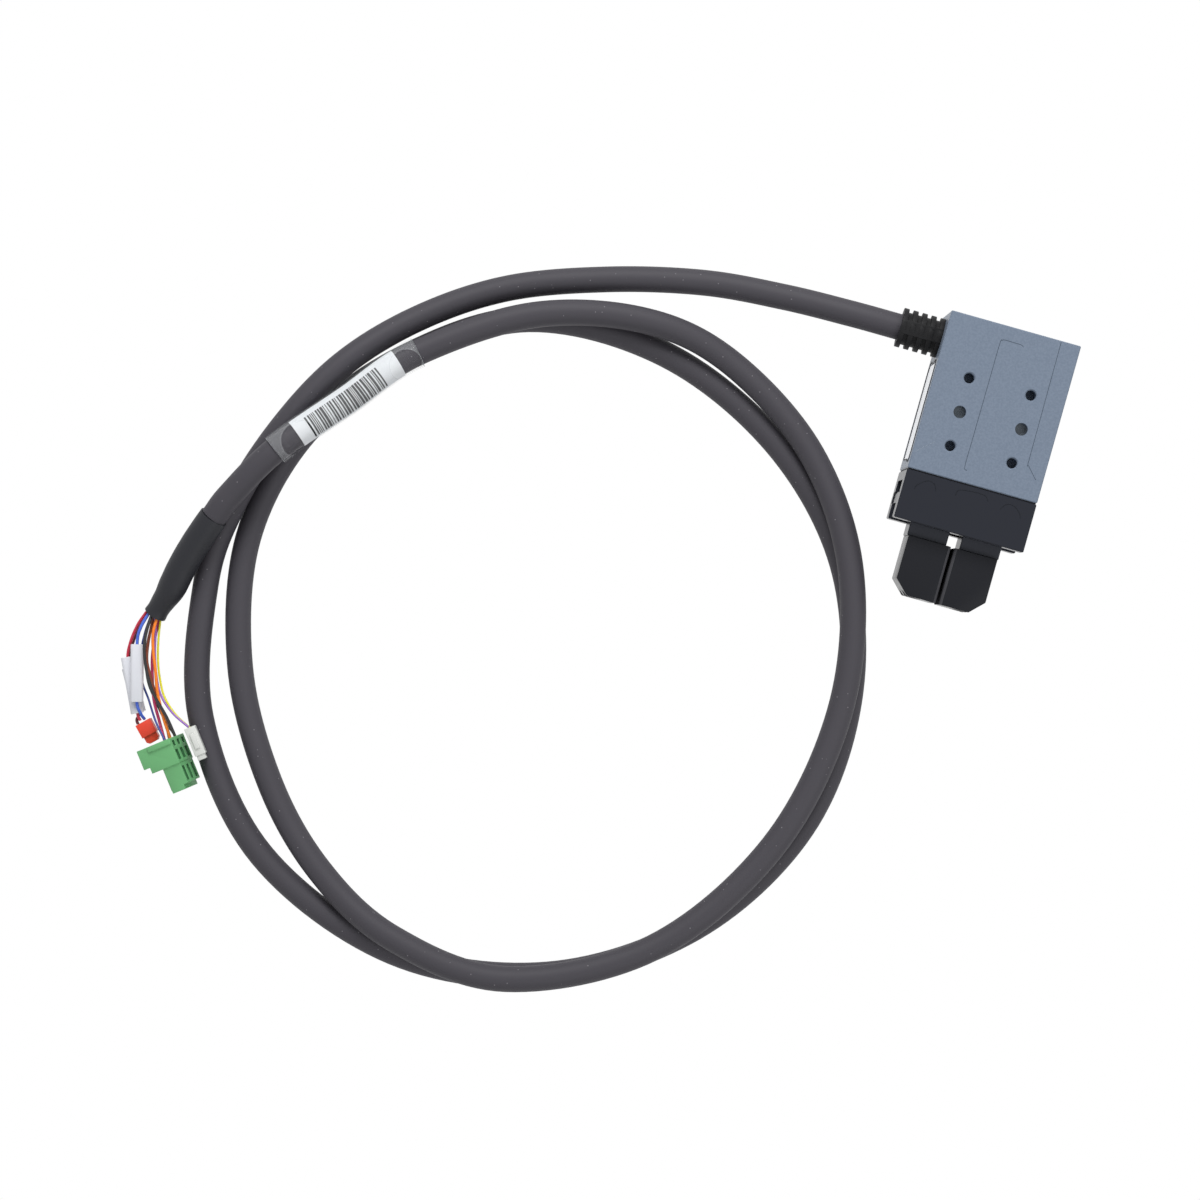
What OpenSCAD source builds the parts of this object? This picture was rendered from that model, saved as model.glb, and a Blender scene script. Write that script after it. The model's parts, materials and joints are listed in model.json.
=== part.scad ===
// Electric two finger gripper with a captive cable, in millimetres.
// X runs across the jaws, +Y points to the rear and +Z up. It lies on z = 0.

/* [Body] */
// Width of both housings, across the jaws
body_w = 42; // [41.5:0.5:50]
// Height of both housings
body_h = 28; // [27.5:0.5:34]
// Length of the rear housing
body_l = 51; // [50:0.5:64]
// Length of the front housing with its gasket
front_l = 16; // [15.5:0.5:20]
// Bevel along the edges of the housings
body_bevel = 0.3; // [0.2:0.1:0.8]
// Front, side and rear walls of the rear housing
wall_t = 2.5; // [2:0.1:2.7]
// Roof of the rear housing
roof_t = 3; // [2.5:0.1:3.5]
// Width of the ledge that the bottom cover sits in
rim_t = 1.25; // [1:0.05:1.4]
// Thickness of the bottom cover
cover_t = 2; // [1.6:0.1:2.2]
// Thickness of both gaskets
gasket_t = 0.4; // [0.3:0.1:0.6]
// Height of the bare plate in the left wall
side_plate_h = 18; // [12:0.5:20]
// Length of the bare plate in the left wall
side_plate_l = 31; // [20:0.5:34]
// Thickness of the bare plate in the left wall
side_plate_t = 0.4; // [0.2:0.1:0.8]

/* [Fixing holes] */
// Spacing of the M4 threads across the body
hole_dx = 20; // [18:0.5:22]
// Spacing of the M4 threads along the body
hole_dy = 22; // [20:0.5:24]
// From the rear face to the middle of the hole pattern
hole_back = 30; // [29:0.5:32]
// Radius of the M4 threads
thread_r = 1.65; // [1.5:0.05:2]
// Depth of the M4 threads
thread_depth = 6.5; // [5:0.1:7]
// Radius of the dowel bores
dowel_r = 2; // [1.5:0.1:2.5]
// Depth of the dowel bores
dowel_depth = 3.5; // [3:0.1:4]

/* [Jaws] */
// Length of the jaw blocks in front of the housing
jaw_out = 4.1; // [3:0.1:8]
// Width of a jaw block
jaw_w = 12.8; // [12:0.1:14]
// Height of a jaw block
jaw_h = 13.8; // [13:0.1:14.6]
// Width of the sliding flange behind a jaw block
flange_w = 18.5; // [17.5:0.1:18.8]
// Height of the sliding flange
flange_h = 20.8; // [20.5:0.1:22]
// Thickness of the sliding flange
flange_t = 3.5; // [3.2:0.1:4]
// Lip of the front housing that holds the flanges
lip_t = 4.9; // [4:0.1:5.2]
// Gap between the two jaws when the fingers rest
jaw_gap = 4.2; // [3.6:0.1:5]
// Running clearance round the flanges
slide_gap = 0.1; // [0.05:0.01:0.15]

/* [Fingers] */
// Length of the fingers
finger_l = 18.4; // [16:0.2:30]
// Height of the fingers
finger_h = 17.6; // [16.6:0.2:20]
// From the middle plane to the outer face of a finger
finger_out = 14.5; // [13:0.1:16]
// Gap between the gripping faces at rest
finger_gap = 1.2; // [0.6:0.1:3]
// Bevel on the outer front corner of a finger
finger_corner = 4.4; // [2:0.1:4.8]
// Bevel along the gripping face, above and below
finger_bevel = 0.9; // [0.4:0.1:1.2]

/* [Gears] */
// Module of every gear
gear_module = 0.5; // [0.48:0.01:0.52]
// Teeth of the large gears
wheel_teeth = 28; // [28]
// Teeth of the small gears on the two pins
small_teeth = 12; // [12]
// Teeth of the gear on the motor shaft
motor_teeth = 10; // [10]
// Teeth of the gear that drives the racks
rack_gear_teeth = 16; // [16]
// Width of the large gears
wheel_t = 2; // [1.8:0.1:2.2]
// Radius of the output shaft
shaft_r = 2; // [1.8:0.05:2.1]
// Radius of the pin that carries the counter gear
pin_r = 1; // [0.8:0.05:1.1]
// Outer radius of the front bearing
front_bearing_r = 4; // [3.6:0.1:4.4]
// Outer radius of the rear bearing
rear_bearing_r = 3.5; // [3.2:0.1:3.8]
// Thickness of the gear plate
gear_plate_t = 3; // [2.8:0.1:4]

/* [Motor] */
// Radius of the motor can
motor_r = 8.5; // [8:0.1:8.6]
// Length of the motor can
can_l = 19.5; // [17.5:0.5:20]
// Thickness of the motor's end bells
bell_t = 2.5; // [2:0.1:3]
// Radius of the motor shaft
motor_shaft_r = 1; // [0.8:0.05:1.1]
// Side of the square encoder board
encoder_w = 15; // [12:0.5:15]

/* [Electronics] */
// Length of the control board
board_l = 17.5; // [15:0.5:17.5]
// Width of the control board
board_w = 17.3; // [16:0.1:17.3]
// Thickness of the control board
board_t = 1.6; // [1:0.1:1.6]
// Height of the posts under the control board
board_post_h = 3.4; // [2.5:0.1:4]

/* [Cable] */
// Radius of the cable over its jacket
cable_r = 4.15; // [3.5:0.05:4.2]
// From the rear face to the axis of the cable outlet
cable_back = 8.1; // [8:0.1:12]
// Length of the cable boot outside the body
boot_l = 13.4; // [12:0.1:13.4]
// Radius of the rings of the cable boot
boot_r = 6.3; // [5.8:0.05:6.6]
// Radius of the clear sleeve on the cable
label_r = 5; // [4.6:0.1:5]
// Radius of the heat shrink at the cable's end
shrink_r = 4.7; // [4.4:0.1:4.7]

/* [Hidden] */

$fn = 40;
cut = 1;             // how far a cut reaches past a face
fixed_fit = 0.02;    // clearance round a seated pin, screw or bearing
turn_fit = 0.05;     // clearance round a part that turns or passes through
seat_fit = 0.15;     // clearance round a plate in its seat
gear_gap = 0.3;      // gap between neighbouring gears on one axis
drive_scale = body_w / 42;         // the motor, gears and board fill the body's width
tooth_m = gear_module * drive_scale;
can_r = motor_r * drive_scale;

// Faces along Y, with the whole gripper centred on the origin
total_l = body_l + front_l + jaw_out + finger_l;
rear_y = total_l / 2;
border_y = rear_y - body_l;
face_y = border_y - front_l;
seam_y = face_y - jaw_out;
tip_y = -total_l / 2;
side_x = body_w / 2;
axis_z = body_h / 2;

// Room inside the rear housing
room_x = side_x - wall_t;
room_y0 = border_y + wall_t;
room_y1 = rear_y - wall_t;
roof_z = body_h - roof_t;
floor_z = cover_t + gasket_t;
ledge_x = side_x - rim_t;
ledge_y0 = border_y + rim_t;
ledge_y1 = rear_y - rim_t;

// Screws: shank radius, head radius and head height
m3 = [1.5, 2.75, 3];
m25 = [1.25, 2.2, 2];
m2 = [1, 1.6, 1.4];
m16 = [0.8, 1.4, 0.9];
post_w = 3.7;                      // blocks in the corners that take the cover screws
post_h = 3.2;
post_l = 4.05;
post_x = room_x - post_w + 1.6;
front_post_y = room_y0 + 2.35;
rear_post_y = room_y1 - 2.35;
cover_screw_l = cover_t + gasket_t + post_h - 0.5;
lug_w = 3.6;                       // blocks on the side walls that take the gear plate
lug_t = 2.5;
lug_h = 3.5;

// Fixing holes
pattern_y = rear_y - hole_back;
thread_boss_r = thread_r + 2.1;
thread_l = thread_depth + body_h - 28 - 2 * (can_r - motor_r);     // they end over the motor
thread_floor_z = body_h - thread_l - 1;
dowel_boss_r = dowel_r + 1.5;
dowel_floor_z = body_h - dowel_depth - 1.5;

// Slots of the front housing and what slides in them
flange_y0 = face_y + lip_t + slide_gap;
flange_y1 = flange_y0 + flange_t;
rack_t = 3.15;
rack_y1 = flange_y1 + rack_t;
rack_room_y1 = rack_y1 + 0.6;
back_y = border_y - gasket_t;
rack_relief = 0.35;
jaw_x0 = jaw_gap / 2;
jaw_x1 = jaw_x0 + jaw_w;
flange_x1 = jaw_x0 + flange_w;
jaw_screw_x = (jaw_x0 + jaw_x1) / 2 - 0.2;
jaw_screw_dz = 4.5;
jaw_thread_l = 7;
finger_seat_y = seam_y - 7.65;     // floor of the counterbores in the fingers
front_screw_x = side_x - 5;
front_screw_dz = 4.8;
front_boss_l = 2.55;

// Gear train, with the rack gear and output gear on the output axis
pressure_angle = 25;
tooth_thin = 0.06;                 // taken off each tooth for backlash
flank_steps = 4;
function pitch_r(n) = tooth_m * n / 2;
function tip_r(n) = pitch_r(n) + tooth_m;
function root_r(n) = pitch_r(n) - 1.25 * tooth_m;
function base_r(n) = pitch_r(n) * cos(pressure_angle);
rack_gear_y0 = flange_y1 + rack_relief;
rack_gear_y1 = rack_y1 + gear_gap;
output_y0 = room_y0 + seat_fit;
output_y1 = output_y0 + wheel_t + 0.2;
reduction_y0 = output_y1 + gear_gap;
reduction_y1 = reduction_y0 + wheel_t + 0.4;
reduction_y2 = reduction_y1 + wheel_t;
counter_y1 = reduction_y0 + 0.2;
counter_y2 = reduction_y1 - gear_gap;
plate_y0 = reduction_y2 + 0.7;
plate_y1 = plate_y0 + gear_plate_t;
stage_c = pitch_r(wheel_teeth) + pitch_r(small_teeth);
motor_c = pitch_r(wheel_teeth) + pitch_r(motor_teeth);
counter_drop = 2.5;                // counter axis below the output axis
motor_lift = 0.5;                  // gap between the bottom cover and the motor
counter_x = -sqrt(stage_c * stage_c - counter_drop * counter_drop);
counter_z = axis_z - counter_drop;
motor_z = cover_t + motor_lift + can_r;
motor_drop = axis_z - motor_z;
motor_x = sqrt(motor_c * motor_c - motor_drop * motor_drop);
counter_angle = atan2(-counter_drop, counter_x);
motor_angle = atan2(-motor_drop, motor_x);
front_bearing_t = 3;
rear_bearing_t = 2.5;
shaft_y1 = plate_y0 + rear_bearing_t + 0.3;

// Gear plate
plate_x = room_x - 0.2;
plate_z0 = floor_z + 0.1;
plate_z1 = thread_floor_z - 0.3;
plate_screw_top = [room_x - 1.9, plate_z1 - 1.6];
plate_screw_low = [room_x - 1.7, plate_z0 + 1.4];
motor_screw_r = can_r - 2;
motor_screw_angle = 60;

// Motor
bell_y1 = plate_y1 + bell_t;
can_y1 = bell_y1 + can_l;
cap_y1 = can_y1 + bell_t + 0.5;
pilot_r = 3;
pilot_l = 1.5;
can_t = 0.7;
stator_t = 3.4;
rotor_r = can_r - can_t - stator_t - 0.5;
stack_y0 = bell_y1 + 2.5;
stack_y1 = can_y1 - 2;
motor_bush_r = 2.5;
motor_bush_l = 1.6;
magnet_r = 2.5;
magnet_y0 = cap_y1 + 1.2;
magnet_y1 = magnet_y0 + 2;
encoder_y0 = magnet_y1 + 1;
encoder_t = 1;
encoder_post_x = encoder_w / 2 - 1.5;
pinion_y0 = reduction_y1 - 0.2;
pinion_y1 = plate_y0 - turn_fit * 2;

// Control board
board_x0 = -room_x + 0.5;
board_x1 = board_x0 + board_l * drive_scale;
board_y0 = plate_y1 + m2[2] + 0.6;
board_y1 = board_y0 + board_w;
board_z0 = cover_t + board_post_h;
board_z1 = board_z0 + board_t;
board_hole = 2.4;                  // from the board's edges to its screws

// Cable outlet
cable_y = rear_y - cable_back;
boot_bore_r = cable_r + turn_fit;
boot_neck_r = boot_bore_r + 1;
boot_flange_r = boot_neck_r + 1;
boot_flange_t = 1;
boot_x0 = -side_x - boot_l;
collar_x0 = -room_x + boot_flange_t;
collar_l = 3.5;
inner_end_x = collar_x0 + collar_l + 4.6;

// The cable's route from the boot to its heat shrink
cable_route = [
    [boot_x0, cable_y, axis_z], [boot_x0 - 2, cable_y, axis_z], [-50, 36.75, 12.6], [-72, 36.6, 7.4],
    [-98, 34.3, 4.7], [-128, 27, 4.3],
    [-158, 15.5, 4.6], [-182.5, -1.5, 6.8], [-201.5, -22.5, 10.8], [-214.5, -47.5, 11.8],
    [-223, -74.5, 8.6], [-225, -101.5, 4.6], [-215, -143, 4.2], [-184.5, -180, 4.2],
    [-135.5, -198.5, 4.2], [-86, -192, 4.2], [-45, -165, 4.2], [-20.5, -125, 4.2], [-17, -81, 4.2],
    [-31, -40, 4.2], [-61.5, -9, 4.2], [-103.5, 9, 4.2], [-148.5, 8, 4.2], [-184, -15, 4.2],
    [-207.5, -46, 4.2], [-216, -83.5, 4.2], [-207.5, -123.5, 4.2], [-188.5, -156.5, 4.6],
    [-165, -179.5, 7.4], [-136.5, -193.5, 11.4], [-98.5, -196, 12.8], [-56.5, -174, 12.8],
    [-28.5, -133, 12.4], [-19.5, -86, 12.4], [-28, -42.5, 12.6], [-50, -9.5, 10.2],
    [-82, 11.5, 8.8], [-112, 17, 11.6], [-147, 9, 13.4], [-179, -12.5, 15.4],
    [-196.5, -33.5, 18.2], [-213.5, -54.5, 20.8], [-223.6, -72, 18.4], [-227, -80, 16.4]];
long_span = 27;                    // a longer span of the route gets a ring at its middle
label_ends = [cable_route[39], cable_route[41]];
shrink_route = [[-227, -80, 16.4], [-230.4, -89.2, 13.8], [-232.9, -97.6, 11.2],
    [-234.8, -106.1, 8.4], [-236.6, -111.1, 6.3], [-237.9, -115, 5]];
shrink_radii = [shrink_r, shrink_r, shrink_r, shrink_r, shrink_r * 0.82, shrink_r * 0.76];

// Lead wires: radius, colour, then the points from the heat shrink to the connector
lead_list = [
    [0.5, "firebrick", [[-240.8, -115.1, 4.9], [-242.4, -120, 4.9], [-243.2, -126, 4.2],
        [-242.6, -131.6, 3.5], [-238.8, -139.3, 3.45], [-235, -147.2, 3.4], [-233.6, -149.2, 3]]],
    [0.5, "royalblue", [[-239.8, -115.3, 6.4], [-241, -120.5, 6.8], [-240.9, -125, 6.2],
        [-238.3, -134.7, 6], [-235.9, -143.6, 5.8], [-233.8, -147, 4.2], [-232.4, -148.4, 2.8]]],
    [0.5, "#3a1a1c", [[-240.6, -115.4, 3.5], [-242.6, -124, 1.9], [-242.3, -133.7, 1.15],
        [-238.5, -140.3, 1.15], [-234.9, -146.6, 1.15], [-234.9, -149.3, 1.5], [-234.1, -150.6, 1.8]]],
    [0.5, "#1c1c1e", [[-238.6, -115.4, 6.9], [-238.7, -120.5, 8.2], [-238, -126, 8.4],
        [-235.2, -133, 8.8], [-230.8, -139.6, 9.4], [-225, -145.4, 9.6], [-220.9, -150.5, 8.8]]],
    [0.5, "#6b3f22", [[-238.2, -115.6, 4.7], [-237.7, -123.5, 5.2], [-236.4, -130, 5.6],
        [-233.6, -135, 5.8], [-230.6, -139.8, 5.9], [-226, -146, 5.7], [-222.8, -152, 5.3]]],
    [0.5, "#e0761e", [[-236.9, -115.5, 6.7], [-236.6, -121, 7.4], [-235, -126.6, 7.2],
        [-232.6, -132.4, 7.4], [-230.2, -138.6, 7.6], [-226.2, -145.8, 8], [-222.3, -151.6, 7.8]]],
    [0.5, "#c2578c", [[-236.4, -115.7, 3.9], [-236.2, -121, 3.8], [-235.4, -128, 3.7],
        [-233.4, -135, 3.8], [-231, -141.6, 4.2], [-227.4, -147.6, 5], [-224, -152.9, 6.4]]],
    [0.35, "#2f5d43", [[-237.6, -115.7, 3], [-238.4, -122, 2.2], [-237.6, -129, 2],
        [-235, -136, 2.2], [-231.4, -141, 2.4], [-226, -147, 3.4], [-221.4, -150.9, 3.8]]],
    [0.35, "#27386e", [[-239.4, -115.4, 2.6], [-240, -122, 1], [-239.4, -129, 0.8],
        [-236.8, -136.6, 1.6], [-232.9, -142, 2.5], [-228.3, -147.8, 7], [-223.5, -152.6, 10.2]]],
    [0.35, "#6a3d94", [[-237.8, -115.5, 5.7], [-236, -121, 5.9], [-234.4, -127.4, 5.7],
        [-232.2, -133.6, 5.6], [-229, -139.4, 6.4], [-223.6, -143.7, 8.9], [-217.33, -146.52, 10.5]]],
    [0.35, "#d8b930", [[-235.9, -115.7, 5.1], [-234.8, -122.4, 4.7], [-233.3, -128.6, 4.2],
        [-231.2, -134, 4.4], [-227.9, -139.6, 5.6], [-222.6, -144, 7.9], [-216.63, -146.82, 9.7]]]];
marker_list = [                    // start, heading and length of each white sleeve
    [[-240.7, -125.8, 6], -74.9, 18.4],
    [[-243, -130.7, 3.45], -64.1, 18.3],
    [[-242.1, -134.1, 1.15], -60, 14.6]];
red_plug_at = [-232.6, -149.4, 0];
red_plug_turn = -45;
terminal_at = [-223.3, -163.1, 0];
terminal_turn = 38;
terminal_tilt = -18;
white_plug_lift = 8.4;             // the white plug lies on the cable

// Shapes
module block(low, high)
    translate(low) cube(high - low);

module corner_outline(w, h, c)
    polygon([[c, 0], [w - c, 0], [w, c], [w, h - c], [w - c, h], [c, h], [0, h - c], [0, c]]);

module bevelled(low, high, c) {
    size = high - low;
    translate(low) intersection() {
        linear_extrude(size.z) corner_outline(size.x, size.y, c);
        translate([0, size.y, 0]) rotate([90, 0, 0]) linear_extrude(size.y)
            corner_outline(size.x, size.z, c);
        rotate([90, 0, 90]) linear_extrude(size.x) corner_outline(size.y, size.z, c);
    }
}

module rod_x(y, z, r, x0, x1)
    translate([x0, y, z]) rotate([0, 90, 0]) cylinder(r = r, h = x1 - x0);

module rod_y(x, z, r, y0, y1)
    translate([x, y1, z]) rotate([90, 0, 0]) cylinder(r = r, h = y1 - y0);

module rod_z(x, y, r, z0, z1)
    translate([x, y, z0]) cylinder(r = r, h = z1 - z0);

// A plate across Y, drawn in XZ and running from y0 to y1
module across_y(y0, y1)
    translate([0, y1, 0]) rotate([90, 0, 0]) linear_extrude(y1 - y0) children();

// A screw whose head rests on z = 0 and whose shank runs down
module cap_screw(size, shank_l)
    difference() {
        union() {
            cylinder(r = size[1], h = size[2]);
            translate([0, 0, -shank_l]) cylinder(r = size[0], h = shank_l + size[2] / 2);
        }
        translate([0, 0, size[2] * 0.45]) cylinder(r = size[1] * 0.5, h = size[2], $fn = 6);
    }

// A screw whose head lies flush under z = 0
module flush_screw(size, length)
    difference() {
        union() {
            translate([0, 0, -size[2]]) cylinder(r1 = size[0], r2 = size[1], h = size[2]);
            translate([0, 0, -length]) cylinder(r = size[0], h = length - size[2] / 2);
        }
        translate([0, 0, -size[2] * 0.6]) cylinder(r = size[0] * 0.8, h = size[2], $fn = 6);
    }

module flush_hole(size, length) {
    translate([0, 0, -size[2]])
        cylinder(r1 = size[0] + fixed_fit, r2 = size[1] + fixed_fit, h = size[2]);
    translate([0, 0, -length]) cylinder(r = size[0] + fixed_fit, h = length + cut);
}

module ring_y(x, z, outer_r, inner_r, y0, y1)
    difference() {
        rod_y(x, z, outer_r, y0, y1);
        rod_y(x, z, inner_r, y0 - cut, y1 + cut);
    }

// Gear teeth: the first one points along +X
function roll(n, r) = let (a = acos(base_r(n) / r)) tan(a) * 180 / PI - a;
function half_tooth(n, r) =
    90 / n - tooth_thin / 2 / pitch_r(n) * 180 / PI + roll(n, pitch_r(n)) - roll(n, r);
function flank_start(n) = max(base_r(n), root_r(n));
function flank_r(n, i) = flank_start(n) + (tip_r(n) - flank_start(n)) * i / flank_steps;
function at_angle(r, a) = [r * cos(a), r * sin(a)];
function tooth(n, a) = concat(
    root_r(n) < base_r(n) ? [at_angle(root_r(n), a - half_tooth(n, base_r(n)))] : [],
    [for (i = [0 : flank_steps]) at_angle(flank_r(n, i), a - half_tooth(n, flank_r(n, i)))],
    [for (i = [flank_steps : -1 : 0]) at_angle(flank_r(n, i), a + half_tooth(n, flank_r(n, i)))],
    root_r(n) < base_r(n) ? [at_angle(root_r(n), a + half_tooth(n, base_r(n)))] : []);

module gear(n, x, z, y0, y1, turn)
    translate([x, 0, z]) across_y(y0, y1) rotate(turn)
        polygon([for (k = [0 : n - 1]) each tooth(n, 360 * k / n)]);

// Cords: rings along a Catmull-Rom curve through the route's points
function before(p, i) = i == 0 ? 2 * p[0] - p[1] : p[i - 1];
function after(p, i) = i + 2 > len(p) - 1 ? 2 * p[len(p) - 1] - p[len(p) - 2] : p[i + 2];
function curve(p, i, t) = 0.5 * (2 * p[i] + (p[i + 1] - before(p, i)) * t
    + (2 * before(p, i) - 5 * p[i] + 4 * p[i + 1] - after(p, i)) * t * t
    + (3 * p[i] - before(p, i) - 3 * p[i + 1] + after(p, i)) * t * t * t);
function spans(p) = [for (i = [0 : len(p) - 2])
    each norm(p[i + 1] - p[i]) > long_span ? [[i, 0], [i, 0.5]] : [[i, 0]]];
function centres(p) = concat([for (s = spans(p)) curve(p, s[0], s[1])], [p[len(p) - 1]]);
function unit(v) = v / norm(v);
function heading(c, i) =
    unit(c[min(i + 1, len(c) - 1)] - c[max(i - 1, 0)]);
function ring(at, forward, r, sides) =
    let (side = unit(cross(forward, [0, 0, 1])), up = cross(side, forward))
    [for (k = [0 : sides - 1]) at + r * (cos(360 * k / sides) * side + sin(360 * k / sides) * up)];

// One closed tube; radii holds a radius for each centre
module tube(c, radii, sides) {
    last = len(c) - 1;
    points = [for (i = [0 : last]) each ring(c[i], heading(c, i), radii[i], sides)];
    walls = [for (i = [0 : last - 1], k = [0 : sides - 1])
        let (next = (k + 1) % sides)
        each [
            [i * sides + k, i * sides + next, (i + 1) * sides + next],
            [i * sides + k, (i + 1) * sides + next, (i + 1) * sides + k]]];
    start = [for (k = [sides - 1 : -1 : 0]) k];
    end = [for (k = [0 : sides - 1]) last * sides + k];
    polyhedron(points, concat(walls, [start], [end]), convexity = 10);
}

module cord(route, r, sides) {
    c = centres(route);
    tube(c, [for (p = c) r], sides);
}

// Places
module at_threads()
    for (sx = [-1, 1], sy = [-1, 1])
        translate([sx * hole_dx / 2, pattern_y + sy * hole_dy / 2, body_h]) children();

module at_dowels()
    for (sx = [-1, 1])
        translate([sx * hole_dx / 2, pattern_y, body_h]) children();

module at_cover_screws()
    for (sx = [-1, 1], y = [front_post_y, rear_post_y])
        translate([sx * post_x, y, 0]) rotate([180, 0, 0]) children();

module at_front_screws()
    for (sx = [-1, 1], sz = [-1, 1])
        translate([sx * front_screw_x, rack_room_y1 + m25[2], axis_z + sz * front_screw_dz])
            rotate([90, 0, 0]) children();

module at_plate_screws()
    for (sx = [-1, 1], p = [plate_screw_top, plate_screw_low])
        translate([sx * p[0], plate_y1, p[1]]) rotate([-90, 0, 0]) children();

module at_motor_screws()
    for (a = [motor_screw_angle, motor_screw_angle + 180])
        translate([motor_x + motor_screw_r * cos(a), plate_y0 + 1.2, motor_z + motor_screw_r * sin(a)])
            rotate([90, 0, 0]) children();

module at_board_screws()
    for (x = [board_x0 + board_hole, board_x1 - board_hole],
            y = [board_y0 + board_hole, board_y1 - board_hole])
        translate([x, y, board_z1]) children();

module at_jaw_screws()
    for (sz = [-1, 1])
        translate([jaw_screw_x, finger_seat_y, axis_z + sz * jaw_screw_dz]) rotate([90, 0, 0]) children();

// Rear housing
module main_housing() color("#5d6c80") difference() {
    union() {
        difference() {
            bevelled([-side_x, border_y, 0], [side_x, rear_y, body_h], body_bevel);
            block([-room_x, room_y0, -cut], [room_x, room_y1, roof_z]);
            block([-ledge_x, ledge_y0, -cut], [ledge_x, ledge_y1, floor_z]);
        }
        at_threads() rod_z(0, 0, thread_boss_r, thread_floor_z - body_h, cut - roof_t);
        at_dowels() rod_z(0, 0, dowel_boss_r, dowel_floor_z - body_h, cut - roof_t);
        for (sx = [-1, 1], sz = [-1, 1])
            rod_y(sx * front_screw_x, axis_z + sz * front_screw_dz, m25[0] * 2,
                room_y0 - cut, room_y0 + front_boss_l);
        for (sx = [0, 1]) mirror([sx, 0, 0]) {
            block([room_x - post_w, room_y0 - cut, floor_z],
                [room_x + cut, plate_y0, floor_z + post_h]);
            block([room_x - post_w, room_y1 - post_l, floor_z],
                [room_x + cut, room_y1 + cut, floor_z + post_h]);
            block([room_x - lug_w, plate_y0 - lug_t, plate_screw_top[1] - lug_h / 2],
                [room_x + cut, plate_y0, plate_screw_top[1] + lug_h / 2]);
        }
    }
    at_threads() {
        rod_z(0, 0, thread_r, -thread_l, cut);
        translate([0, 0, -0.35]) cylinder(r1 = thread_r, r2 = thread_r + 0.35, h = 0.35);
    }
    at_dowels() rod_z(0, 0, dowel_r, -dowel_depth, cut);
    at_cover_screws() rod_z(0, 0, m2[0] + fixed_fit, -cover_screw_l - 0.3, 0);
    for (sx = [-1, 1], sz = [-1, 1])
        rod_y(sx * front_screw_x, axis_z + sz * front_screw_dz, m25[0] + fixed_fit,
            border_y - cut, room_y0 + front_boss_l + cut);
    at_plate_screws() rod_z(0, 0, m2[0] + fixed_fit, -gear_plate_t - lug_t, 0);
    rod_y(0, axis_z, front_bearing_r - 0.7, border_y - cut, room_y0 + cut);
    rod_y(counter_x, counter_z, pin_r + fixed_fit, room_y0 - 1.5, room_y0 + cut);
    rod_x(cable_y, axis_z, boot_neck_r + turn_fit, -side_x - cut, -room_x + cut);
    // relief in the rear wall for the boot's flange and the collar
    rod_x(cable_y, axis_z, boot_flange_r + seat_fit, -room_x, collar_x0 + collar_l + seat_fit);
    side_plate_room();
}

// Bare plate let into the left wall
side_plate_y0 = room_y0 + 0.75;
module side_plate_shape(fit)
    block([-side_x - (fit > 0 ? cut : 0), side_plate_y0 - fit, axis_z - side_plate_h / 2 - fit],
        [-side_x + side_plate_t, side_plate_y0 + side_plate_l + fit, axis_z + side_plate_h / 2 + fit]);

module side_plate_room()
    side_plate_shape(turn_fit);

module side_plate() color("#d9dde2")
    side_plate_shape(0);

// Bottom cover with the posts of the control board
module bottom_cover() color("#232427") difference() {
    union() {
        block([-ledge_x + seat_fit, ledge_y0 + seat_fit, 0],
            [ledge_x - seat_fit, ledge_y1 - seat_fit, cover_t]);
        at_board_screws() rod_z(0, 0, m16[0] + 1.2, cover_t - 0.5 - board_z1, -board_t);
    }
    at_cover_screws() flush_hole(m2, cover_t + cut);
    at_board_screws() rod_z(0, 0, m16[0] + fixed_fit, -board_t - board_post_h, -board_t + cut);
}

module cover_gasket() color("#101012") difference() {
    block([-ledge_x + seat_fit, ledge_y0 + seat_fit, cover_t],
        [ledge_x - seat_fit, ledge_y1 - seat_fit, floor_z]);
    difference() {
        block([-room_x, room_y0, 0], [room_x, room_y1, body_h]);
        for (sx = [0, 1]) mirror([sx, 0, 0]) {
            block([room_x - post_w, room_y0 - cut, 0], [side_x, plate_y0, body_h]);
            block([room_x - post_w, room_y1 - post_l, 0], [side_x, rear_y, body_h]);
        }
    }
    at_cover_screws() rod_z(0, 0, m2[0] + turn_fit, -body_h, cut);
}

module cover_screws() color("#b9bcc0")
    at_cover_screws() flush_screw(m2, cover_screw_l);

// Front housing with the slots of the jaws
module front_housing() color("#1b1c1f") difference() {
    bevelled([-side_x, face_y, 0], [side_x, back_y, body_h], body_bevel);
    block([-side_x - cut, face_y - cut, axis_z - jaw_h / 2 - slide_gap],
        [side_x + cut, flange_y0, axis_z + jaw_h / 2 + slide_gap]);
    block([-side_x - cut, flange_y0 - slide_gap, axis_z - flange_h / 2 - slide_gap],
        [side_x + cut, flange_y1 + slide_gap, axis_z + flange_h / 2 + slide_gap]);
    block([-side_x - cut, flange_y1, rack_low_z0 - seat_fit],
        [side_x + cut, rack_room_y1, body_h - rack_low_z0 + seat_fit]);
    rod_y(0, axis_z, front_bearing_r + fixed_fit, back_y - front_bearing_t, back_y + cut);
    rod_y(0, axis_z, shaft_r + 0.5, flange_y1, back_y);
    at_front_screws() {
        rod_z(0, 0, m25[1] + turn_fit, 0, m25[2] + cut);
        rod_z(0, 0, m25[0] + turn_fit, -front_l, cut);
    }
}

module front_gasket() color("#0d0d0e") difference() {
    bevelled([-side_x + 0.3, back_y, 0.3], [side_x - 0.3, border_y, body_h - 0.3], 0.15);
    rod_y(0, axis_z, front_bearing_r + 0.5, back_y - cut, border_y + cut);
    at_front_screws() rod_z(0, 0, m25[0] + turn_fit, -front_l, cut);
}

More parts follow.
